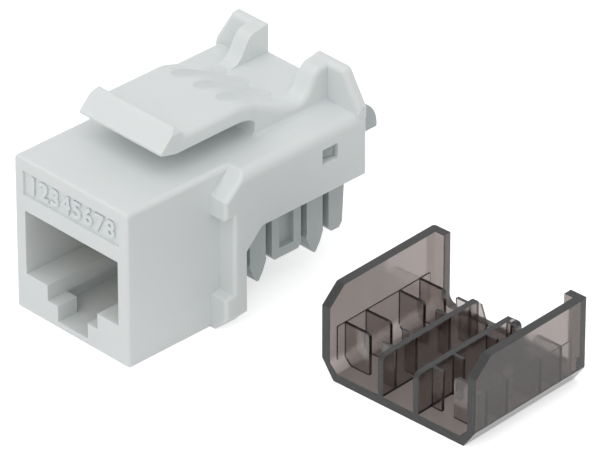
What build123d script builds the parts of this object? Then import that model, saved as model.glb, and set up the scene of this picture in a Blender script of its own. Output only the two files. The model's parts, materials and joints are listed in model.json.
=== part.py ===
from build123d import *
import math
import os

os.makedirs("parts", exist_ok=True)

# Keystone jack with its wires punched down from below, and its stuffer cap taken off beside it.
# Millimetres. Z is up, X runs along the front face and Y runs back from it.
# The origin is the centre of the flat face that the front block stands on.
# A "depth" below is a distance behind the front face.

# Front block
block_w = 14.6
block_h = 15.8
block_len = 12.4
block_top_r = 0.5
block_edge_r = 0.25

# Plug port: a standard eight-way port with its tab notch down
port_w = 12.0
port_drop = 5.35
port_h = 6.55
port_depth = 11.4
notch_w = 6.5
notch_step = 1.6
tab_w = 3.9
tab_floor = 0.7
lug_len = 2.3
tab_room_w = 8.0

# Recessed field for a label above the port
label_w = 12.4
label_drop = 1.3
label_h = 2.5
label_deep = 0.22

# Rear body with its cheeks
body_w = 18.6
side_wall = 0.9
roof_t = 1.2
skirt_drop = 6.25
heel_h = 1.9
heel_run = 1.95
column_t = 1.4
lug_reach = 1.1
lower_lug_h = 3.45
lug_rise = 0.2
upper_lug_drop = 4.1
upper_lug_h = 1.9
lug_r = 0.4
shoulder_r = 1.0
base_chamfer = 1.5
rear_edge_r = 0.3

# Windows that the snaps of the terminal block catch in
window_back = 5.5
window_len = 1.9
window_drop = 3.15
window_h = 1.5

# Latch arm, the riser that it springs from, and the deck behind it
arm_w = 10.5
arm_rise = 3.55
arm_t = 1.47
root_depth = 17.3
hinge_rise = 1.1
slot_run = 2.3
slot_foot_r = 0.5
root_gap = 0.05
arm_edge_r = 0.5
toe_depth = 6.0
toe_rise = 0.45
toe_run = 1.8
toe_h = 0.2
lip_top_depth = 7.95
lip_top_rise = 1.0
lip_front_run = 0.25
lip_front_drop = 0.1
lip_back_run = 0.28
lip_back_drop = 0.14
lip_foot_run = 1.15
lip_end_cut = 0.35
crest_depth = 15.3
deck_len = 4.5
deck_rise = 0.95
ramp_pull = 2.1
cove_r = 0.3

# Flutes down the ramp behind the latch arm
flute_count = 3
flute_pitch = 2.85
flute_r = 1.1
flute_lead = 0.7
flute_crest_rise = 0.67
flute_foot_rise = 0.8

# Rear horns: a ramped side wall and a rear wall that meet in an L
horn_side_t = 1.95
horn_rear_t = 0.95
horn_h = 2.9
horn_top_w = 7.2
horn_foot_w = 9.2
horn_foot_rise = 0.6
horn_lead = 0.8
horn_knee_run = 1.65
horn_knee_rise = 0.4
horn_slope_run = 0.85
horn_slope_rise = 1.3
horn_brow_run = 0.95
horn_brow_drop = 0.25
horn_r = 0.55

# Clearances between pieces that slide together
slide_gap = 0.1
seat_gap = 0.05
wire_gap = 0.03

# Terminal block with its rows of wire posts
base_plate_t = 2.2
base_show = 0.65
rim_t = 0.5
block_rear_t = 1.0
row_in = 3.1
row_out = 7.2
row_inset = 0.6
front_post = 1.9
rear_post = 2.35
pair_pitch = 2.7
pair_gap = 4.35
slot_w = 0.75
point_z = 2.2
neck_z = 4.7
neck = 0.06
barb_z = 4.1
barb = 0.08
flank_z = 3.1
flank = 0.3
point_half = 0.12
blunt_z = 3.5
blunt_run = 0.35
blunt_rise = 0.5
row_draft = 0.3
panel_w = 1.75
panel_bottom = 4.45
panel_h = 3.3
panel_deep = 0.55
snap_reach = 0.55
ear_in = 6.2
ear_out = 8.0
ear_web_t = 0.6
ear_drop = 3.0
ear_h = 3.2
ear_reach = 2.4
ear_t = 1.0

# Terminals: forked blades that grip the wires
blade_x = 4.3
blade_t = 0.4
blade_gap = 0.4
blade_tip = 4.6
blade_drop = 2.65
fork_slit = 0.35
fork_root_drop = 0.8
fork_mouth = 0.9
pin_w = 0.5
pin_stand = 0.6

# Circuit board
board_t = 1.2
board_clear = 0.2
board_nose_w = 12.4
board_front = 3.2

# Contact carrier and its eight spring wires
carrier_front = 4.4
carrier_back = 12.0
carrier_room = 3.0
contact_count = 8
contact_pitch = 1.02
wire_d = 0.44
wire_bend_r = 0.4
wire_drop = 0.6
wire_front = 3.8
wire_turn_h = 1.0
wire_tip_depth = 9.7
wire_tip_drop = 2.45
leg_depth = 11.2
leg_stagger = 1.3
groove_w = 0.56
groove_over = 0.1

# Stuffer cap
cap_w = 17.9
cap_short = 0.2
cap_h = 8.95
cap_wall = 0.95
cap_floor = 0.9
cap_chamfer_x = 1.35
cap_chamfer_z = 1.9
cap_inner_chamfer = 0.85
cap_nose_run = 1.9
cap_nose_drop = 1.65
cap_flange = 1.95
cap_flange_t = 0.9
cap_sill = 1.75
cap_sill_r = 0.9
cap_pad_t = 0.15
cap_pad_top = 5.1
cap_pad_front = 0.85
cap_pad_back = 1.6
rib_in = 1.75
rib_t = 0.62
rib_top = 5.0
rib_nose = 0.4
rib_heel_back = 2.2
rib_heel_run = 0.6
rib_end_back = 0.5
fin_t = 0.35
fin_in = 4.95
fin_r = 0.4
short_fin_out = 3.55
rib_ear_back = 2.4
rib_ear_t = 0.6
rib_ear_out = 3.0
rib_ear_top = 4.7
cap_edge_r = 0.3
cap_x = 28.73
cap_depth = 11.93
cap_turn = 3.16

# Where the pieces meet
base_front = block_len + slide_gap
slot_1 = base_front + front_post
slot_2 = slot_1 + pair_pitch
slot_3 = slot_2 + pair_gap
slot_4 = slot_3 + pair_pitch
slots = [slot_1, slot_2, slot_3, slot_4]
row_end = slot_4 + rear_post
base_back = row_end + row_inset
body_len = base_back + slide_gap
half_block = block_w / 2
half_body = body_w / 2
inner_half = half_body - side_wall
roof_z = block_h - roof_t
port_roof = block_h - port_drop
port_floor = port_roof - port_h
label_bottom = block_h - label_drop - label_h
skirt_z = block_h - skirt_drop
heel_z = skirt_z - heel_h
column_front = block_len - column_t
lug_front = column_front - lug_reach
upper_lug_z = block_h - upper_lug_drop
upper_lug_top = upper_lug_z + upper_lug_h
window_front = body_len - window_back
window_bottom = block_h - window_drop
arm_top = block_h + arm_rise
lip_end_depth = lip_top_depth + 2 * lip_back_run
hinge_z = block_h + hinge_rise
deck_z = block_h + deck_rise
deck_depth = body_len - deck_len
horn_in = arm_w / 2 - horn_side_t
horn_top = deck_z + horn_h
horn_foot_z = block_h + horn_foot_rise
base_bottom = skirt_z - base_show
slot_top = base_bottom
base_top = skirt_z + slide_gap + base_plate_t
base_half = inner_half - slide_gap
board_half = base_half - rim_t - board_clear
board_bottom = base_top
board_top = board_bottom + board_t
board_back = base_back - block_rear_t - slide_gap
carrier_bottom = port_roof + seat_gap
blade_w = pair_pitch - blade_gap
blade_top = base_top - blade_drop
fork_root = blade_top - fork_root_drop
ear_z = block_h - ear_drop
wire_tip_z = port_roof - wire_tip_drop
cap_len = body_len - block_len - cap_short
contact_xs = [(n - (contact_count - 1) / 2) * contact_pitch for n in range(contact_count)]
leg_depths = [leg_depth - leg_stagger * (n % 2) for n in range(contact_count)]
beyond = 2.0


def at(depth):
    """Y of a distance behind the front face."""
    return depth - block_len / 2


def slab(x0, x1, d0, d1, z0, z1):
    """A box between two X values, two depths and two heights."""
    middle = Pos((x0 + x1) / 2, at((d0 + d1) / 2), (z0 + z1) / 2)
    return middle * Box(x1 - x0, d1 - d0, z1 - z0)


def outline(points, x0, x1):
    """A prism along X over a closed outline of (depth, z) points."""
    line = Polyline(*[(at(d), z) for d, z in points], close=True)
    return extrude(Plane.YZ.offset(x0) * make_face(line), amount=x1 - x0)


def end_outline(points, d0, d1):
    """A prism along Y over a closed outline of (x, z) points."""
    line = Polyline(*points, close=True)
    return extrude(Plane.XZ.offset(-at(d1)) * make_face(line), amount=d1 - d0)


def both_sides(shape):
    """A shape and its mirror image across the middle plane."""
    return shape + mirror(shape, about=Plane.YZ)


def export(shape, node):
    """Write one piece as one file."""
    shape.label = node
    export_step(shape, f"parts/{node}.step")


# Housing

def front_block():
    """The block that fills the panel opening, with soft outer edges."""
    body = slab(-half_block, half_block, 0, block_len, 0, block_h)
    long_edges = body.edges().filter_by(Axis.Y).group_by(Axis.Z)
    body = fillet(long_edges[-1], block_top_r)
    long_edges = body.edges().filter_by(Axis.Y).group_by(Axis.Z)
    body = fillet(long_edges[0], block_edge_r)
    front = body.faces().sort_by(Axis.Y)[0]
    return fillet(front.edges(), block_edge_r)


def rear_body():
    """The wide rear body: two cheeks with lugs and a column, a shoulder and a skirt."""
    body = outline(
        [
            (lug_front, 0),
            (block_len, 0),
            (block_len, heel_z),
            (block_len + heel_run, skirt_z),
            (body_len, skirt_z),
            (body_len, block_h),
            (block_len, block_h),
            (lug_front, upper_lug_top),
            (lug_front, upper_lug_z),
            (column_front, upper_lug_z),
            (column_front, lower_lug_h + lug_rise),
            (lug_front, lower_lug_h),
        ],
        -half_body,
        half_body,
    )
    along = body.edges().filter_by(Axis.Y).group_by(Axis.Z)
    body = fillet(along[-1], shoulder_r)
    upright = body.edges().filter_by(Axis.Z).group_by(Axis.Y)
    body = fillet(upright[-1], rear_edge_r)
    along = body.edges().filter_by(Axis.Y).group_by(Axis.Z)
    body = chamfer(along[0], base_chamfer)
    rims = body.edges().filter_by(
        lambda e: abs(e.center().X) > half_body - seat_gap
        and e.center().Y < at(column_front) + seat_gap
        and e.center().Z > base_chamfer
    )
    return fillet(rims, lug_r)


def port_space():
    """What the plug fills: the port, the tab notch, and the room for the tab behind its lugs."""
    half_port = port_w / 2
    half_notch = notch_w / 2
    step_z = port_floor - notch_step
    port = slab(-half_port, half_port, -beyond, port_depth, port_floor, port_roof)
    notch = slab(-half_notch, half_notch, -beyond, port_depth, step_z, port_floor)
    mouth = slab(-tab_w / 2, tab_w / 2, -beyond, lug_len, tab_floor, step_z)
    room = slab(-tab_room_w / 2, tab_room_w / 2, lug_len, port_depth, tab_floor, step_z)
    return port + notch + mouth + room


def module_space():
    """The room for the terminal block, the board and the contacts, open to the rear and below."""
    nose_half = board_nose_w / 2 + slide_gap
    rear = slab(-inner_half, inner_half, block_len, body_len + beyond, -beyond, roof_z)
    nose = slab(-nose_half, nose_half, carrier_room, block_len, port_roof, roof_z)
    return rear + nose


def bridge_outline():
    """The side outline of the latch arm, its riser and the deck, as one face."""
    under = arm_top - arm_t
    bed = roof_z + roof_t / 2
    toe = (at(toe_depth), under + toe_rise)
    toe_top = (at(toe_depth), under + toe_rise + toe_h)
    lip_z = arm_top + lip_top_rise
    lip_front = (at(lip_top_depth - lip_front_run), lip_z - lip_front_drop)
    lip_top = (at(lip_top_depth), lip_z)
    lip_back = (at(lip_top_depth + lip_back_run), lip_z - lip_back_drop)
    lip_foot = (at(lip_top_depth + lip_back_run + lip_foot_run), arm_top)
    crest = (at(crest_depth), arm_top)
    deck = (at(deck_depth), deck_z)
    slot_end = (at(root_depth - slot_run), under)
    root = (at(root_depth), hinge_z)
    foot_top = (at(root_depth), block_h + slot_foot_r)
    foot_front = (at(root_depth - slot_foot_r), block_h)
    foot_middle = (
        at(root_depth - slot_foot_r * (1 - math.sqrt(0.5))),
        block_h + slot_foot_r * (1 - math.sqrt(0.5)),
    )
    front = Polyline(slot_end, (at(toe_depth + toe_run), under), toe, toe_top, lip_front)
    lip = ThreePointArc(lip_front, lip_top, lip_back)
    back = Bezier(
        lip_back,
        (at(lip_top_depth + 2 * lip_back_run), lip_z - lip_top_rise / 2),
        (at(lip_top_depth + lip_back_run + lip_foot_run / 2), arm_top),
        lip_foot,
    )
    top = Line(lip_foot, crest)
    ramp = Bezier(
        crest,
        (at(crest_depth + ramp_pull), arm_top),
        (at(deck_depth - ramp_pull), deck_z),
        deck,
    )
    rear = Polyline(deck, (at(body_len), deck_z), (at(body_len), bed), (foot_front[0], bed), foot_front)
    foot = ThreePointArc(foot_front, foot_middle, foot_top)
    riser_front = Line(foot_top, root)
    slot = Bezier(
        root,
        (at(root_depth), hinge_z + (under - hinge_z) / 2),
        (at(root_depth - slot_run / 3), under),
        slot_end,
    )
    return make_face([*front.edges(), lip, back, top, ramp, *rear.edges(), foot, riser_front, slot])


def flutes():
    """Three straight round-bottomed grooves down the ramp, that run out at the deck's level."""
    grooves = []
    for n in range(flute_count):
        x = (n - (flute_count - 1) / 2) * flute_pitch
        start = Vector(x, at(crest_depth + flute_lead), arm_top + flute_crest_rise)
        end = Vector(x, at(deck_depth), deck_z + flute_foot_rise)
        way = end - start
        groove = Pos(start) * Sphere(flute_r)
        groove += extrude(Plane(origin=start, z_dir=way) * Circle(flute_r), amount=way.length)
        grooves.append(groove & slab(x - flute_pitch, x + flute_pitch, 0, deck_depth, deck_z, 2 * arm_top))
    return grooves


def on_top(edge):
    """Whether an edge of the bridge's sides borders its top behind the lip."""
    low, high = sorted([(edge @ 0).Z, (edge @ 1).Z])
    deck_rim = abs(high - deck_z) < seat_gap
    behind = edge.center().Y > at(lip_end_depth) + seat_gap
    return behind and low > deck_z - seat_gap and (high > arm_top - seat_gap or deck_rim)


def bridge():
    """Latch arm, riser and deck before they are parted at the latch's root."""
    half = arm_w / 2
    lip_z = arm_top + lip_top_rise
    cut_foot = arm_top + arm_edge_r
    cut_top = 2 * lip_z - cut_foot
    whole = extrude(Plane.YZ.offset(-half) * bridge_outline(), amount=arm_w)
    body = whole - slab(-half, half, 0, lip_end_depth, roof_z, lip_z + beyond)
    rims = body.edges().filter_by(lambda e: abs(e.center().X) > half - seat_gap).filter_by(on_top)
    body = fillet(rims, arm_edge_r)
    lip = whole & end_outline(
        [
            (-half, roof_z),
            (half, roof_z),
            (half, cut_foot),
            (half - 2 * lip_end_cut, cut_top),
            (-half + 2 * lip_end_cut, cut_top),
            (-half, cut_foot),
        ],
        0,
        lip_end_depth,
    )
    body += lip
    for groove in flutes():
        body -= groove
    return body


def horn():
    """The right horn: a ramp-topped side wall and a rear wall with a sloping shoulder."""
    low = roof_z + roof_t / 2
    foot = Vector(at(deck_depth - horn_lead), deck_z)
    knee = foot + Vector(horn_knee_run, horn_knee_rise)
    slope = knee + Vector(horn_slope_run, horn_slope_rise)
    brow = Vector(slope.X + horn_brow_run, horn_top - horn_brow_drop)
    ramp = Spline(foot, knee, slope, brow, tangents=((1, 0), (1, 0.4)))
    rest = Polyline(brow, (at(body_len), horn_top), (at(body_len), low), (foot.X, low), foot)
    side = extrude(Plane.YZ.offset(horn_in) * make_face([ramp, *rest.edges()]), amount=arm_w / 2 - horn_in)
    rim = side.faces().sort_by(Axis.X)[-1].edges().filter_by(
        lambda e: e.center().Z > deck_z + horn_knee_rise and e.center().Y < at(body_len) - seat_gap)
    side = fillet(rim, horn_r)
    wall = end_outline(
        [
            (horn_in, low),
            (horn_in, horn_top),
            (horn_top_w, horn_top),
            (horn_foot_w, horn_foot_z),
            (horn_foot_w, low),
        ],
        body_len - horn_rear_t,
        body_len,
    )
    corner = wall.edges().filter_by(Axis.Y).filter_by(
        lambda e: abs(e.center().X - horn_top_w) < seat_gap)
    wall = fillet(corner, horn_r)
    rim = wall.faces().sort_by(Axis.Y)[0].edges().filter_by(
        lambda e: e.center().X > horn_in + seat_gap and e.center().Z > horn_foot_z)
    wall = fillet(rim, horn_r)
    return side + wall


def cove():
    """The hollow corner where the riser and the deck grow out of the right half of the roof."""
    side = arm_w / 2
    corner = slab(side - seat_gap, side + cove_r, root_depth, body_len - horn_rear_t, block_h - roof_t / 2,
                  block_h + cove_r)
    bore = Pos(side + cove_r, at((root_depth + body_len) / 2), block_h + cove_r)
    return corner - bore * Rot(90, 0, 0) * Cylinder(cove_r, body_len)


def housing_body(riser):
    """The white moulding, complete but for its latch arm."""
    body = front_block() + rear_body() + riser + both_sides(horn() + cove())
    body -= port_space()
    body -= module_space()
    body -= slab(-label_w / 2, label_w / 2, -beyond, label_deep, label_bottom, label_bottom + label_h)
    window = slab(inner_half - side_wall, half_body + beyond, window_front, window_front + window_len,
                  window_bottom, window_bottom + window_h)
    body -= both_sides(window)
    return body


whole_bridge = bridge()
split_z = (hinge_z + block_h + slot_foot_r) / 2
riser = whole_bridge - slab(-half_body, half_body, 0, root_depth, split_z, 2 * arm_top)
latch = whole_bridge & slab(-half_body, half_body, 0, root_depth - root_gap, split_z, 2 * arm_top)
housing = housing_body(riser)
export(housing, "housing")
export(latch, "latch")


# Terminal block

def pointed_post(d0, d1):
    """A post that parts a pair of wires: necked, barbed and drawn to a narrow end."""
    middle = (d0 + d1) / 2
    return outline(
        [
            (d0, base_top),
            (d0, neck_z + neck),
            (d0 + neck, neck_z),
            (d0 - barb, barb_z),
            (d0 + flank, flank_z),
            (middle - point_half, point_z),
            (middle + point_half, point_z),
            (d1 - flank, flank_z),
            (d1 + barb, barb_z),
            (d1 - neck, neck_z),
            (d1, neck_z + neck),
            (d1, base_top),
        ],
        row_in,
        row_out,
    )


def blunt_post(d0, d1, draft):
    """A post with a flat end and cut corners, its rear side drawn in by the draft."""
    return outline(
        [
            (d0, base_top),
            (d0, blunt_z + blunt_rise),
            (d0 + blunt_run, blunt_z),
            (d1 - blunt_run - draft, blunt_z),
            (d1 - draft, blunt_z + blunt_rise),
            (d1, slot_top),
            (d1, base_top),
        ],
        row_in,
        row_out,
    )


def post_row():
    """The right-hand row of posts, with pockets for the blades of its four terminals."""
    starts = [base_front] + [s + slot_w / 2 for s in slots]
    ends = [s - slot_w / 2 for s in slots] + [row_end]
    drafts = [0, 0, 0, 0, row_draft]
    row = blunt_post(starts[0], ends[0], drafts[0])
    for n in range(1, len(starts)):
        if n % 2 == 1:
            row += pointed_post(starts[n], ends[n])
        else:
            row += blunt_post(starts[n], ends[n], drafts[n])
    middle = (slots[1] + slots[2]) / 2
    row -= slab(row_out - panel_deep, row_out + beyond, middle - panel_w / 2, middle + panel_w / 2,
                panel_bottom, panel_bottom + panel_h)
    return row


def blade_pocket(depth):
    """The pocket for one terminal: a slit for the blade and a hole for its pin."""
    half_t = blade_t / 2 + seat_gap
    half_w = blade_w / 2 + seat_gap
    half_pin = pin_w / 2 + seat_gap
    slit = slab(blade_x - half_t, blade_x + half_t, depth - half_w, depth + half_w,
                -beyond, blade_top + seat_gap)
    hole = slab(blade_x - half_t, blade_x + half_t, depth - half_pin, depth + half_pin,
                blade_top, base_top + beyond)
    return slit + hole


def ear():
    """A curved ear behind the rear wall, on a web, to press the block home and pull it out."""
    d = body_len + slide_gap
    outer = ThreePointArc(
        (at(d), ear_z + ear_h),
        (at(d + ear_reach * math.sqrt(0.5)), ear_z + ear_h * math.sqrt(0.5)),
        (at(d + ear_reach), ear_z),
    )
    inner = ThreePointArc(
        (at(d + ear_reach - ear_t), ear_z),
        (at(d + (ear_reach - ear_t) * math.sqrt(0.5)), ear_z + (ear_h - ear_t) * math.sqrt(0.5)),
        (at(d), ear_z + ear_h - ear_t),
    )
    foot = Line((at(d + ear_reach), ear_z), (at(d + ear_reach - ear_t), ear_z))
    top = Line((at(d), ear_z + ear_h - ear_t), (at(d), ear_z + ear_h))
    shell = extrude(Plane.YZ.offset(ear_in) * make_face([outer, foot, inner, top]), amount=ear_out - ear_in)
    corner = (at(d), ear_z)
    disc_foot = Line((at(d + ear_reach), ear_z), corner)
    disc_back = Line(corner, (at(d), ear_z + ear_h))
    disc = make_face([outer, disc_foot, disc_back])
    web = extrude(Plane.YZ.offset(ear_out - ear_web_t) * disc, amount=ear_web_t)
    root = base_back - block_rear_t / 2
    web_foot = slab(ear_out - ear_web_t, ear_out, root, d + seat_gap, ear_z, roof_z - slide_gap)
    neck = slab(ear_in, ear_out, root, d + ear_t / 2, ear_z + ear_t, roof_z - slide_gap)
    return shell + web + web_foot + neck


def snap():
    """A ramped snap on the right rim that springs out into the window."""
    d0 = window_front + slide_gap
    d1 = window_front + window_len - slide_gap
    points = [(base_half - rim_t / 2, at(d0)), (base_half, at(d0)), (base_half + snap_reach, at(d1)),
              (base_half - rim_t / 2, at(d1))]
    wedge = make_face(Polyline(*points, close=True))
    low = window_bottom + slide_gap
    return extrude(Plane.XY.offset(low) * wedge, amount=window_h - 2 * slide_gap)


def terminal_block():
    """The grey block: base plate, rims, rear wall, snaps, ears and two rows of posts."""
    rim_top = roof_z - slide_gap
    body = slab(-base_half, base_half, base_front, base_back, base_bottom, base_top)
    body += slab(-base_half, base_half, base_back - block_rear_t, base_back, base_bottom, rim_top)
    rim = slab(base_half - rim_t, base_half, base_front, base_back, base_bottom, rim_top)
    body += both_sides(rim + snap() + ear() + post_row())
    for depth in slots:
        body -= both_sides(blade_pocket(depth))
    return body


export(terminal_block(), "terminal_block")


# Terminals

def terminal(side, depth):
    """One forked blade with its slit open downwards and its pin up through the board."""
    half_w = blade_w / 2
    half_slit = fork_slit / 2
    half_mouth = fork_mouth / 2
    half_pin = pin_w / 2
    x0 = side * blade_x - blade_t / 2
    points = [
        (depth - half_w, blade_top),
        (depth - half_w, blade_tip + half_mouth),
        (depth - half_w + half_slit, blade_tip),
        (depth - half_mouth, blade_tip),
        (depth - half_slit, blade_tip + half_mouth),
        (depth - half_slit, fork_root),
        (depth + half_slit, fork_root),
        (depth + half_slit, blade_tip + half_mouth),
        (depth + half_mouth, blade_tip),
        (depth + half_w - half_slit, blade_tip),
        (depth + half_w, blade_tip + half_mouth),
        (depth + half_w, blade_top),
        (depth + half_pin, blade_top),
        (depth + half_pin, board_top + pin_stand),
        (depth - half_pin, board_top + pin_stand),
        (depth - half_pin, blade_top),
    ]
    return outline(points, x0, x0 + blade_t)


terminal_places = [(side, depth) for side in (-1, 1) for depth in slots]
for n, (side, depth) in enumerate(terminal_places):
    export(terminal(side, depth), f"terminal_{n + 1}")


# Circuit board

def circuit_board():
    """The board over the port and the terminal block, drilled for pins and contact legs."""
    board = slab(-board_half, board_half, base_front + slide_gap, board_back, board_bottom, board_top)
    board += slab(-board_nose_w / 2, board_nose_w / 2, board_front, board_back, board_bottom, board_top)
    hole_t = blade_t / 2 + wire_gap
    hole_w = pin_w / 2 + wire_gap
    for side, depth in terminal_places:
        x = side * blade_x
        board -= slab(x - hole_t, x + hole_t, depth - hole_w, depth + hole_w, base_bottom, block_h)
    for x, depth in zip(contact_xs, leg_depths):
        board -= Pos(x, at(depth), board_bottom) * Cylinder(wire_d / 2 + wire_gap, 2 * beyond)
    return board


export(circuit_board(), "circuit_board")


# Contacts and their carrier

def contact(x, leg):
    """One spring wire: a leg through the board, a run forward, and a slope back into the port."""
    run_z = board_bottom - wire_drop
    points = [
        (x, at(leg), board_top + pin_stand),
        (x, at(leg), run_z),
        (x, at(wire_front), run_z),
        (x, at(wire_front), run_z - wire_turn_h),
        (x, at(wire_tip_depth), wire_tip_z),
    ]
    path = FilletPolyline(*points, radius=wire_bend_r)
    section = Plane(origin=points[0], z_dir=(0, 0, -1)) * Circle(wire_d / 2)
    return sweep(section, path=path)


def contact_carrier():
    """The comb under the board's nose that keeps the spring wires apart."""
    half = board_nose_w / 2
    comb = slab(-half, half, carrier_front, carrier_back, carrier_bottom, board_bottom)
    groove_top = board_bottom - wire_drop + wire_d / 2 + groove_over
    for x, leg in zip(contact_xs, leg_depths):
        comb -= slab(x - groove_w / 2, x + groove_w / 2, 0, leg + groove_w / 2, 0, groove_top)
        comb -= Pos(x, at(leg), board_bottom) * Cylinder(groove_w / 2, 2 * beyond)
    return comb


for n, (x, leg) in enumerate(zip(contact_xs, leg_depths)):
    export(contact(x, leg), f"contact_{n + 1}")
export(contact_carrier(), "contact_carrier")


# Stuffer cap, modelled with its nose at depth zero of its own frame, then laid beside the jack

def cap_slab(x0, x1, y0, y1, z0, z1):
    """A box in the cap's own frame."""
    return Pos((x0 + x1) / 2, (y0 + y1) / 2, (z0 + z1) / 2) * Box(x1 - x0, y1 - y0, z1 - z0)


def cap_end(points, y0, y1):
    """A prism along the cap over a closed outline of (x, z) points."""
    return extrude(Plane.XZ.offset(-y1) * make_face(Polyline(*points, close=True)), amount=y1 - y0)


def cap_side(points, x0, x1):
    """A prism across the cap over a closed outline of (y, z) points."""
    return extrude(Plane.YZ.offset(x0) * make_face(Polyline(*points, close=True)), amount=x1 - x0)


def cap_tray():
    """Floor, side walls with bevelled foot and nose, rear flanges and the low sill between them."""
    half = cap_w / 2
    inner = half - cap_wall
    outer = [
        (-half + cap_chamfer_x, 0),
        (half - cap_chamfer_x, 0),
        (half, cap_chamfer_z),
        (half, cap_h),
        (-half, cap_h),
        (-half, cap_chamfer_z),
    ]
    hollow = [
        (-inner + cap_inner_chamfer, cap_floor),
        (inner - cap_inner_chamfer, cap_floor),
        (inner, cap_floor + cap_inner_chamfer),
        (inner, cap_h + beyond),
        (-inner, cap_h + beyond),
        (-inner, cap_floor + cap_inner_chamfer),
    ]
    tray = cap_end(outer, 0, cap_len)
    upright = tray.edges().filter_by(Axis.Z).group_by(Axis.Y)[-1]
    tray = fillet(upright, cap_edge_r)
    tray -= cap_end(hollow, -beyond, cap_len - cap_flange_t)
    gate_half = half - cap_flange
    gate = cap_slab(-gate_half, gate_half, cap_len - 2 * cap_flange_t, cap_len + beyond,
                    cap_sill, cap_h + 2 * beyond)
    gate_low = gate.edges().filter_by(Axis.Y).group_by(Axis.Z)[0]
    tray -= fillet(gate_low, cap_sill_r)
    nose = [
        (-cap_nose_run, cap_h - 2 * cap_nose_drop),
        (2 * cap_nose_run, cap_h + cap_nose_drop),
        (-cap_nose_run, cap_h + cap_nose_drop),
    ]
    return tray - cap_side(nose, -cap_w, cap_w)


def cap_inside():
    """What stands in the right half of the cap: wall pad, centre rib, fins and the rib's ear."""
    half = cap_w / 2
    inner = half - cap_wall
    pad_x = inner - cap_pad_t
    bottom = cap_floor / 2
    pad = cap_end(
        [
            (inner + cap_wall / 2, cap_pad_top),
            (pad_x, cap_pad_top),
            (pad_x, cap_floor + cap_inner_chamfer / 2),
            (inner + cap_wall / 2, cap_floor + cap_inner_chamfer / 2),
        ],
        cap_pad_front,
        cap_len - cap_pad_back,
    )
    rib_out = rib_in + rib_t
    rib_heel = cap_len - rib_heel_back
    rib_end = cap_len - rib_end_back
    rib = cap_side(
        [
            (0, bottom),
            (0, rib_top - rib_nose),
            (rib_nose, rib_top),
            (rib_heel, rib_top),
            (rib_heel + rib_heel_run, rib_top - rib_heel_run),
            (rib_end, cap_floor),
            (rib_end, bottom),
        ],
        rib_in,
        rib_out,
    )
    ear_front = cap_len - rib_ear_back
    rib_ear = cap_slab(rib_out - rib_t / 2, rib_ear_out, ear_front, ear_front + rib_ear_t,
                       bottom, rib_ear_top)
    ear_corner = rib_ear.edges().filter_by(Axis.Y).group_by(Axis.Z)[-1].sort_by(Axis.X)[-1]
    inside = pad + rib + fillet(ear_corner, fin_r)
    for depth in slots:
        y = depth - base_front
        long_fin = cap_end(
            [
                (pad_x + cap_pad_t / 2, cap_pad_top),
                (fin_in, cap_pad_top),
                (fin_in, bottom),
                (pad_x - cap_inner_chamfer, bottom),
                (pad_x + cap_pad_t / 2, cap_floor + cap_inner_chamfer),
            ],
            y - fin_t / 2,
            y + fin_t / 2,
        )
        corner = long_fin.edges().filter_by(Axis.Y).filter_by(
            lambda e: e.center().X < fin_in + seat_gap and e.center().Z > cap_floor)
        inside += fillet(corner, fin_r)
        inside += cap_slab(rib_out - rib_t / 2, short_fin_out, y - fin_t / 2, y + fin_t / 2,
                           bottom, rib_top)
    return inside


cap_here = cap_tray() + both_sides(cap_inside())
cap = Location((cap_x, at(cap_depth), 0), (0, 0, cap_turn)) * cap_here
export(cap, "cap")
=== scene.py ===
import json
import math

import bmesh
import bpy
from mathutils import Matrix, Vector


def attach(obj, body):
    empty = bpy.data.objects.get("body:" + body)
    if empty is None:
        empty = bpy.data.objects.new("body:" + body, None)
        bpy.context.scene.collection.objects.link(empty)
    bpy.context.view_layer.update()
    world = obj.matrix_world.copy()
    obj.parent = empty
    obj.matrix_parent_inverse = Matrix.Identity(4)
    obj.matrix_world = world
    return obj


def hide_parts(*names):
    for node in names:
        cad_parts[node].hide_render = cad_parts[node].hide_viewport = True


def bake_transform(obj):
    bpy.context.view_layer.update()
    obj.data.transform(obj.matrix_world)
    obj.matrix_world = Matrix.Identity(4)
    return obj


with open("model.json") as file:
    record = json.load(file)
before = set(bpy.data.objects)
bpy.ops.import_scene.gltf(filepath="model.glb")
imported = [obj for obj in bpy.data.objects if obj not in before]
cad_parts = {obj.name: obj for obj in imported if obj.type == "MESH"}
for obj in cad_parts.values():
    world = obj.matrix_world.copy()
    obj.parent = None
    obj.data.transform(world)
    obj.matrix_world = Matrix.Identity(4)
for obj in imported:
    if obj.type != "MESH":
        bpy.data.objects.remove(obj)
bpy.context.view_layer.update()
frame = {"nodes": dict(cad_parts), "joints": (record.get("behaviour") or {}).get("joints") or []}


# Housing
# One injection moulding in white polycarbonate: block, port, cheeks, deck and horns.
# The tool steel was spark-eroded to a fine satin, so the sheen is soft and the edges
# catch a thin light. White filled plastic lets a little light in, which rounds its shadows.

MM = 0.001


def srgb(code):
    """An sRGB hex colour as linear RGBA."""
    parts = [int(code[i:i + 2], 16) / 255 for i in (1, 3, 5)]
    return (*[c / 12.92 if c <= 0.04045 else ((c + 0.055) / 1.055) ** 2.4 for c in parts], 1)


def node(tree, kind, settings=None, links=None):
    """Add a node, set its properties and sockets, and link its inputs."""
    made = tree.nodes.new(kind)
    for key, value in (settings or {}).items():
        if key in made.inputs:
            made.inputs[key].default_value = value
        else:
            setattr(made, key, value)
    for key, source in (links or {}).items():
        tree.links.new(source, made.inputs[key])
    return made


def surface(name, shader_settings):
    """A new material with its tree, its Principled shader and its object coordinates."""
    material = bpy.data.materials.new(name)
    material.use_nodes = True
    tree = material.node_tree
    tree.nodes.clear()
    shader = node(tree, "ShaderNodeBsdfPrincipled", shader_settings)
    node(tree, "ShaderNodeOutputMaterial", {}, {"Surface": shader.outputs[0]})
    place = node(tree, "ShaderNodeTexCoord").outputs["Object"]
    return material, tree, shader, place


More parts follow.
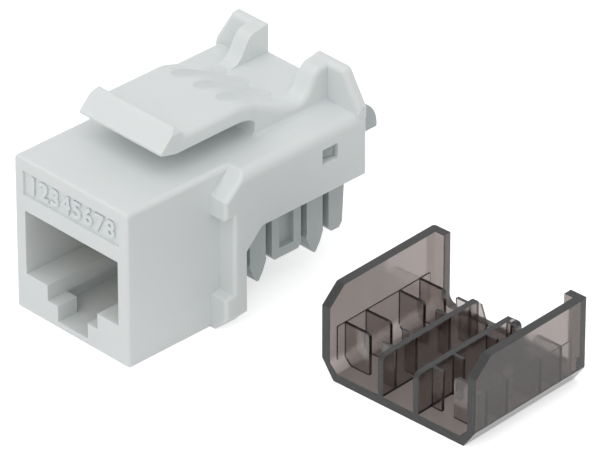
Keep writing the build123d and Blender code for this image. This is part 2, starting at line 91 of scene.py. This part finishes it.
def dress(name, material):
    """Give a CAD node its material."""
    mesh = frame["nodes"][name].data
    mesh.materials.clear()
    mesh.materials.append(material)


# Spark-eroded grain is about 0.03 mm, drawn at 0.16 mm so that it shows.
white_grain_mm = 0.16
white_grain_depth = 0.02 * MM
# The melt is very slightly uneven in tone, in patches a few millimetres across.
white_cloud_mm = 6.0

white_polycarbonate, tree, shader, place = surface("white moulded polycarbonate", {
    "IOR": 1.58, "Subsurface Weight": 0.25, "Subsurface Scale": 0.8 * MM,
    "Subsurface Radius": (1.0, 0.75, 0.55)})
cloud = node(tree, "ShaderNodeTexNoise",
             {"Scale": 1 / (white_cloud_mm * MM), "Detail": 3.0}, {"Vector": place})
tone = node(tree, "ShaderNodeMix",
            {"data_type": "RGBA", "A": srgb("#D9DDDD"), "B": srgb("#DEE2E2")},
            {"Factor": cloud.outputs["Fac"]})
tree.links.new(tone.outputs["Result"], shader.inputs["Base Color"])
grain = node(tree, "ShaderNodeTexNoise",
             {"Scale": 1 / (white_grain_mm * MM), "Detail": 2.0}, {"Vector": place})
bump = node(tree, "ShaderNodeBump",
            {"Strength": 0.16, "Distance": white_grain_depth}, {"Height": grain.outputs["Fac"]})
tree.links.new(bump.outputs["Normal"], shader.inputs["Normal"])
satin = node(tree, "ShaderNodeMapRange",
             {"To Min": 0.38, "To Max": 0.48}, {"Value": grain.outputs["Fac"]})
tree.links.new(satin.outputs["Result"], shader.inputs["Roughness"])
dress("housing", white_polycarbonate)


# Latch arm
# The same moulding as the housing: a thin springy tongue that grows out of the riser.
# It bends at its root, so the arm is cut into short strips there, and its root face
# meets the riser with no gap.

strip_count = 8
strip_mm = 0.35
sharp_angle = math.radians(32)
weld_gap = 0.001 * MM
cut_gap = 0.0001 * MM

# The solid arm ends just in front of the hinge, so its end face moves back onto it.
hinge_y = frame["joints"][0]["pos_m"][1]
arm_mesh = frame["nodes"]["latch"].data.copy()
bm = bmesh.new()
bm.from_mesh(arm_mesh)
bmesh.ops.remove_doubles(bm, verts=bm.verts, dist=weld_gap)
root_y = max(v.co.y for v in bm.verts)
for v in bm.verts:
    if v.co.y > root_y - weld_gap:
        v.co.y = hinge_y
for step in range(1, strip_count + 1):
    cut_y = hinge_y - step * strip_mm * MM
    bmesh.ops.bisect_plane(bm, geom=bm.verts[:] + bm.edges[:] + bm.faces[:], dist=cut_gap,
                           plane_co=(0, cut_y, 0), plane_no=(0, 1, 0))
for edge in bm.edges:
    edge.smooth = len(edge.link_faces) == 2 and edge.calc_face_angle(0) < sharp_angle
for face in bm.faces:
    face.smooth = True
bm.to_mesh(arm_mesh)
bm.free()
latch_tongue = bpy.data.objects.new("latch_tongue", arm_mesh)
bpy.context.scene.collection.objects.link(latch_tongue)
arm_mesh.materials.clear()
arm_mesh.materials.append(white_polycarbonate)
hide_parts("latch")
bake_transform(latch_tongue)


# Port numbers
# Raised figures one to eight in the recessed field above the port, moulded with the
# housing. They were cut into the tool, so they stand proud with slightly soft edges.

ways = 8
front_mm = -6.2
field_depth_mm = 0.22
field_y = (field_depth_mm + front_mm) * MM
field_z = 13.25 * MM
figure_h = 1.7 * MM
# The built-in font draws a figure about 0.7 times as high as its size.
figure_size = figure_h * 1.4
figure_pitch = 1.42 * MM
figure_half_body = 0.05 * MM
figure_edge = 0.07 * MM
figure_out = 0.09 * MM
figure_middle_y = field_y - figure_out
upright = Matrix.Rotation(math.radians(90), 4, "X")
for n in range(ways):
    text = bpy.data.curves.new(f"figure_{n + 1}", "FONT")
    text.body = str(n + 1)
    text.size = figure_size
    text.align_x = "CENTER"
    text.align_y = "CENTER"
    text.extrude = figure_half_body
    text.bevel_depth = figure_edge
    text.bevel_resolution = 2
    text.resolution_u = 4
    flat = bpy.data.objects.new("flat_figure", text)
    bpy.context.scene.collection.objects.link(flat)
    bpy.context.view_layer.update()
    mesh = bpy.data.meshes.new_from_object(flat)
    bpy.data.objects.remove(flat)
    bpy.data.curves.remove(text)
    x = (n - (ways - 1) / 2) * figure_pitch
    mesh.transform(Matrix.Translation((x, figure_middle_y, field_z)) @ upright)
    figure = bpy.data.objects.new(f"port_figure_{n + 1}", mesh)
    bpy.context.scene.collection.objects.link(figure)
    mesh.materials.clear()
    mesh.materials.append(white_polycarbonate)
    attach(figure, "jack")


# Terminal block
# Light grey glass-filled polyester that takes the heat and the punch-down force.
# The filler dulls it and leaves it slightly mottled, a little darker than the housing.

grey_cloud_mm = 1.6
# The glass fibres are about 0.01 mm thick. Their print is drawn at 0.2 mm so that it shows.
grey_grain_mm = 0.2
grey_grain_depth = 0.02 * MM

grey_polyester, tree, shader, place = surface("grey glass-filled polyester", {
    "Roughness": 0.5, "IOR": 1.55})
cloud = node(tree, "ShaderNodeTexNoise",
             {"Scale": 1 / (grey_cloud_mm * MM), "Detail": 4.0}, {"Vector": place})
tone = node(tree, "ShaderNodeMix",
            {"data_type": "RGBA", "A": srgb("#AEB6B6"), "B": srgb("#B9C1C1")},
            {"Factor": cloud.outputs["Fac"]})
tree.links.new(tone.outputs["Result"], shader.inputs["Base Color"])
grain = node(tree, "ShaderNodeTexNoise",
             {"Scale": 1 / (grey_grain_mm * MM), "Detail": 2.0}, {"Vector": place})
bump = node(tree, "ShaderNodeBump",
            {"Strength": 0.2, "Distance": grey_grain_depth}, {"Height": grain.outputs["Fac"]})
tree.links.new(bump.outputs["Normal"], shader.inputs["Normal"])
dress("terminal_block", grey_polyester)


# Terminals
# Forked blades stamped from phosphor bronze strip and tin plated. The rolled strip
# leaves faint streaks up the blade, and the tin gives it a dull silver sheen.

# Rolling lines are about 0.02 mm wide, drawn at 0.12 mm so that they show.
rolling_line_mm = 0.12
rolling_stretch = 0.12

tinned_bronze, tree, shader, place = surface("tin-plated phosphor bronze", {"Metallic": 1.0})
stretch = node(tree, "ShaderNodeMapping", {"Scale": (1, 1, rolling_stretch)}, {"Vector": place})
streak = node(tree, "ShaderNodeTexNoise",
              {"Scale": 1 / (rolling_line_mm * MM), "Detail": 3.0}, {"Vector": stretch.outputs[0]})
tone = node(tree, "ShaderNodeMix",
            {"data_type": "RGBA", "A": srgb("#B9B4A8"), "B": srgb("#D8D3C6")},
            {"Factor": streak.outputs["Fac"]})
tree.links.new(tone.outputs["Result"], shader.inputs["Base Color"])
sheen = node(tree, "ShaderNodeMapRange",
             {"To Min": 0.28, "To Max": 0.46}, {"Value": streak.outputs["Fac"]})
tree.links.new(sheen.outputs["Result"], shader.inputs["Roughness"])
for n in range(ways):
    dress(f"terminal_{n + 1}", tinned_bronze)


# Contacts
# Round spring wire in phosphor bronze, gold plated where the plug wipes it.
# The plating is bright and warm, with the fine drawing marks of the wire under it.

# Drawing marks are about 0.01 mm wide, drawn at 0.08 mm so that they show.
drawing_mark_mm = 0.08
drawing_stretch = 0.1

gold_wire, tree, shader, place = surface("gold-plated spring wire", {"Metallic": 1.0})
stretch = node(tree, "ShaderNodeMapping", {"Scale": (1, drawing_stretch, 1)}, {"Vector": place})
streak = node(tree, "ShaderNodeTexNoise",
              {"Scale": 1 / (drawing_mark_mm * MM), "Detail": 2.0}, {"Vector": stretch.outputs[0]})
tone = node(tree, "ShaderNodeMix",
            {"data_type": "RGBA", "A": srgb("#D9B25C"), "B": srgb("#EBCB7E")},
            {"Factor": streak.outputs["Fac"]})
tree.links.new(tone.outputs["Result"], shader.inputs["Base Color"])
sheen = node(tree, "ShaderNodeMapRange",
             {"To Min": 0.18, "To Max": 0.32}, {"Value": streak.outputs["Fac"]})
tree.links.new(sheen.outputs["Result"], shader.inputs["Roughness"])
for n in range(ways):
    dress(f"contact_{n + 1}", gold_wire)


# Circuit board and contact carrier
# The board is glass-cloth laminate under green solder mask, with its weave just showing.
# The carrier is a black comb moulded in heat-proof nylon.

weave_mm = 0.45
nylon_cloud_mm = 0.8

solder_mask, tree, shader, place = surface("green solder mask on glass laminate", {
    "Roughness": 0.3, "Coat Weight": 0.4})
weave = node(tree, "ShaderNodeTexVoronoi",
             {"distance": "CHEBYCHEV", "Scale": 1 / (weave_mm * MM), "Randomness": 0.0},
             {"Vector": place})
tone = node(tree, "ShaderNodeMix",
            {"data_type": "RGBA", "A": srgb("#1D5A35"), "B": srgb("#27703F")},
            {"Factor": weave.outputs["Distance"]})
tree.links.new(tone.outputs["Result"], shader.inputs["Base Color"])
dress("circuit_board", solder_mask)

black_nylon, tree, shader, place = surface("black heat-proof nylon", {"Roughness": 0.55})
cloud = node(tree, "ShaderNodeTexNoise",
             {"Scale": 1 / (nylon_cloud_mm * MM), "Detail": 3.0}, {"Vector": place})
tone = node(tree, "ShaderNodeMix",
            {"data_type": "RGBA", "A": srgb("#2B2B2C"), "B": srgb("#38383A")},
            {"Factor": cloud.outputs["Fac"]})
tree.links.new(tone.outputs["Result"], shader.inputs["Base Color"])
dress("contact_carrier", black_nylon)


# Cap
# A thin tray in smoked polycarbonate, polished in the tool so that it is clear enough to
# see its ribs through the walls. The dye is a neutral grey that turns warm brown where
# the light has passed through several walls.

flow_mm = 4.0
ripple_mm = 0.5
ripple_depth = 0.02 * MM
dye_per_metre = 2150.0

smoked_polycarbonate, tree, shader, place = surface("smoked clear polycarbonate", {
    "Roughness": 0.12, "IOR": 1.58, "Transmission Weight": 1.0})
flow = node(tree, "ShaderNodeTexNoise",
            {"Scale": 1 / (flow_mm * MM), "Detail": 3.0}, {"Vector": place})
tone = node(tree, "ShaderNodeMix",
            {"data_type": "RGBA", "A": srgb("#F0EEED"), "B": srgb("#FAF9F8")},
            {"Factor": flow.outputs["Fac"]})
tree.links.new(tone.outputs["Result"], shader.inputs["Base Color"])
ripple = node(tree, "ShaderNodeTexNoise",
              {"Scale": 1 / (ripple_mm * MM), "Detail": 2.0}, {"Vector": place})
bump = node(tree, "ShaderNodeBump",
            {"Strength": 0.1, "Distance": ripple_depth}, {"Height": ripple.outputs["Fac"]})
tree.links.new(bump.outputs["Normal"], shader.inputs["Normal"])
dye = node(tree, "ShaderNodeVolumeAbsorption",
           {"Color": srgb("#BAB1AE"), "Density": dye_per_metre})
tree.links.new(dye.outputs[0], tree.nodes["Material Output"].inputs["Volume"])
dress("cap", smoked_polycarbonate)


# Floor, lights and camera
# A plain white sweep under soft studio light: a large box from the upper left and a
# weaker one further round to the left. The floor keeps only faint shadows of the object.

floor_half = 1.5
# The floor lies a hair under the feet, so that the two faces don't fight.
floor_drop = 0.01 * MM
floor_glow = 0.55
sky_light = 0.61


def straight_or_sent_on(tree):
    """1 for a ray from the camera, and for one that gloss or clear plastic sends on."""
    ray = node(tree, "ShaderNodeLightPath")
    camera_or_gloss = node(tree, "ShaderNodeMath", {"operation": "MAXIMUM"},
                           {0: ray.outputs["Is Camera Ray"], 1: ray.outputs["Is Glossy Ray"]})
    seen = node(tree, "ShaderNodeMath", {"operation": "MAXIMUM"},
                {0: camera_or_gloss.outputs[0], 1: ray.outputs["Is Transmission Ray"]})
    return seen.outputs[0]


floor_mesh = bpy.data.meshes.new("floor")
bm = bmesh.new()
bmesh.ops.create_grid(bm, x_segments=1, y_segments=1, size=floor_half)
bm.to_mesh(floor_mesh)
bm.free()
floor = bpy.data.objects.new("floor", floor_mesh)
floor.location = (0, 0, -floor_drop)
bpy.context.scene.collection.objects.link(floor)
floor_paint = bpy.data.materials.new("white paper sweep")
floor_paint.use_nodes = True
tree = floor_paint.node_tree
tree.nodes.clear()
paper = node(tree, "ShaderNodeBsdfDiffuse", {"Color": srgb("#F2F2F2")})
glow = node(tree, "ShaderNodeEmission", {"Color": (1, 1, 1, 1), "Strength": floor_glow})
both = node(tree, "ShaderNodeAddShader", {}, {0: paper.outputs[0], 1: glow.outputs[0]})
mix = node(tree, "ShaderNodeMixShader", {},
           {0: straight_or_sent_on(tree), 1: paper.outputs[0], 2: both.outputs[0]})
node(tree, "ShaderNodeOutputMaterial", {}, {"Surface": mix.outputs[0]})
floor_mesh.materials.append(floor_paint)

world = bpy.data.worlds.new("studio")
bpy.context.scene.world = world
world.use_nodes = True
tree = world.node_tree
tree.nodes.clear()
dim = node(tree, "ShaderNodeBackground", {"Color": (1, 1, 1, 1), "Strength": sky_light})
white = node(tree, "ShaderNodeBackground", {"Color": (1, 1, 1, 1), "Strength": 1.0})
mix = node(tree, "ShaderNodeMixShader", {},
           {0: straight_or_sent_on(tree), 1: dim.outputs[0], 2: white.outputs[0]})
node(tree, "ShaderNodeOutputWorld", {}, {"Surface": mix.outputs[0]})

middle = Vector((10.36, 11.7, 8.05)) * MM


def softbox(name, azimuth, elevation, distance, size, power):
    """A square area light that faces the object from a compass angle and a height."""
    lamp = bpy.data.lights.new(name, "AREA")
    lamp.shape = "SQUARE"
    lamp.size = size
    lamp.energy = power
    box = bpy.data.objects.new(name, lamp)
    a = math.radians(azimuth)
    e = math.radians(elevation)
    way = Vector((math.sin(a) * math.cos(e), -math.cos(a) * math.cos(e), math.sin(e)))
    box.location = middle + way * distance
    box.rotation_euler = way.to_track_quat("Z", "Y").to_euler()
    bpy.context.scene.collection.objects.link(box)


softbox("softbox_key", azimuth=24, elevation=60, distance=0.5, size=0.7, power=1.28)
softbox("softbox_left", azimuth=-60, elevation=40, distance=0.6, size=0.5, power=0.25)

camera_azimuth = math.radians(45.89)
camera_elevation = math.radians(31.72)
camera_distance = 0.6119
gaze = Vector((-math.sin(camera_azimuth) * math.cos(camera_elevation),
               math.cos(camera_azimuth) * math.cos(camera_elevation),
               -math.sin(camera_elevation)))
across = Vector((math.cos(camera_azimuth), math.sin(camera_azimuth), 0))
upward = across.cross(gaze)
lens = bpy.data.cameras.new("camera")
lens.sensor_width = 36
lens.lens = 415.32
lens.clip_start = 0.01
lens.clip_end = 10
camera = bpy.data.objects.new("camera", lens)
turn = Matrix((across, upward, -gaze)).transposed().to_4x4()
camera.matrix_world = Matrix.Translation(middle - gaze * camera_distance) @ turn
bpy.context.scene.collection.objects.link(camera)
bpy.context.scene.camera = camera
bpy.context.scene.view_settings.view_transform = "Standard"

bpy.context.view_layer.update()
